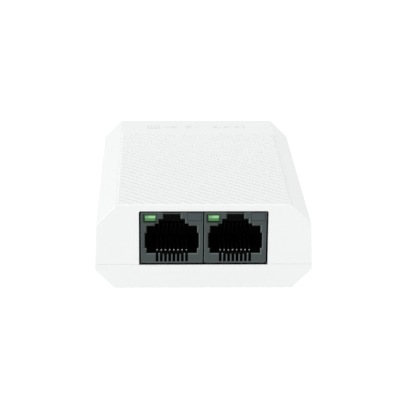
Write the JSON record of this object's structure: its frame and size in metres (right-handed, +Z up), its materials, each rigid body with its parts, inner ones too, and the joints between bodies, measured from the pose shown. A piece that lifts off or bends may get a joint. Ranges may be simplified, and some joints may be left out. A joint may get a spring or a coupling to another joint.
{
  "type": "poe injector",
  "caption": "Small eight-sided white power-over-Ethernet injector case with side-by-side RJ45 jacks at one end and a DC inlet at the other.",
  "frame": {"origin": "centre of the footprint, on the surface that the rubber feet stand on", "axes": "+X to the right seen from the ports, +Y from the ports to the DC inlet, +Z up"},
  "size_m": [0.0528, 0.075, 0.0221],
  "materials": {
    "case_white": "fine matte moulding",
    "mark_grey": "flat printed ink",
    "screw_steel": "zinc plated",
    "foot_rubber": "soft matte",
    "label_film": "satin film",
    "board_laminate": "solder mask",
    "jack_black": "satin moulding",
    "plug_slate": "satin moulding",
    "insert_black": "satin moulding",
    "contact_gold": "gold plated wire",
    "led_green": "diffused epoxy",
    "tinned_lead": "tinned",
    "nickel_plate": "nickel plated",
    "package_black": "moulded epoxy",
    "ferrite": "ground ferrite",
    "fuse_body": "glazed",
    "chip_ceramic": "fired",
    "capacitor_sleeve": "shrunk sleeve",
    "capacitor_can": "drawn can"
  },
  "bodies": {
    "injector_case": {"upper_shell": "case_white", "lower_shell": "case_white", "printed_marks": "mark_grey", "case_screws": "screw_steel", "rubber_feet": "foot_rubber", "rating_label": "label_film", "circuit_board": "board_laminate", "dc_jack_housing": "jack_black", "dc_jack_pin": "nickel_plate", "dc_jack_terminal": "nickel_plate", "lan_transformer": "package_black", "lan_transformer_pins": "tinned_lead", "pse_controller": "package_black", "pse_controller_pins": "tinned_lead", "power_inductor": "ferrite", "inductor_terminals": "tinned_lead", "input_fuse": "fuse_body", "surge_diodes": "package_black", "smd_passives": "chip_ceramic", "capacitor_sleeves": "capacitor_sleeve", "capacitor_cans": "capacitor_can", "capacitor_leads": "tinned_lead", "left_jack_housing": "jack_black", "left_jack_insert": "insert_black", "left_contact_tails": "contact_gold", "left_led_lens": "led_green", "left_led_leads": "tinned_lead", "left_blank_plug": "plug_slate", "right_jack_housing": "jack_black", "right_jack_insert": "insert_black", "right_contact_tails": "contact_gold", "right_led_lens": "led_green", "right_led_leads": "tinned_lead", "right_blank_plug": "plug_slate"},
    "left_contacts": {"left_contact_arms": "contact_gold"},
    "right_contacts": {"right_contact_arms": "contact_gold"},
    "inlet_leaf": {"dc_jack_spring": "nickel_plate"}
  },
  "joints": [
    {"name": "left_contacts_flex", "type": "hinge", "parent": "injector_case", "child": "left_contacts", "pos_m": [-0.00767, -0.0347, 0.00892], "axis": [1, 0, 0], "range_deg": [-11, 0], "stiffness_Nm_per_rad": 0.4},
    {"name": "right_contacts_flex", "type": "hinge", "parent": "injector_case", "child": "right_contacts", "pos_m": [0.00757, -0.0347, 0.00892], "axis": [1, 0, 0], "range_deg": [-11, 0], "stiffness_Nm_per_rad": 0.4},
    {"name": "inlet_leaf_flex", "type": "hinge", "parent": "injector_case", "child": "inlet_leaf", "pos_m": [0, 0.0258, 0.0093], "axis": [1, 0, 0], "range_deg": [-7, 0], "stiffness_Nm_per_rad": 0.2}
  ]
}
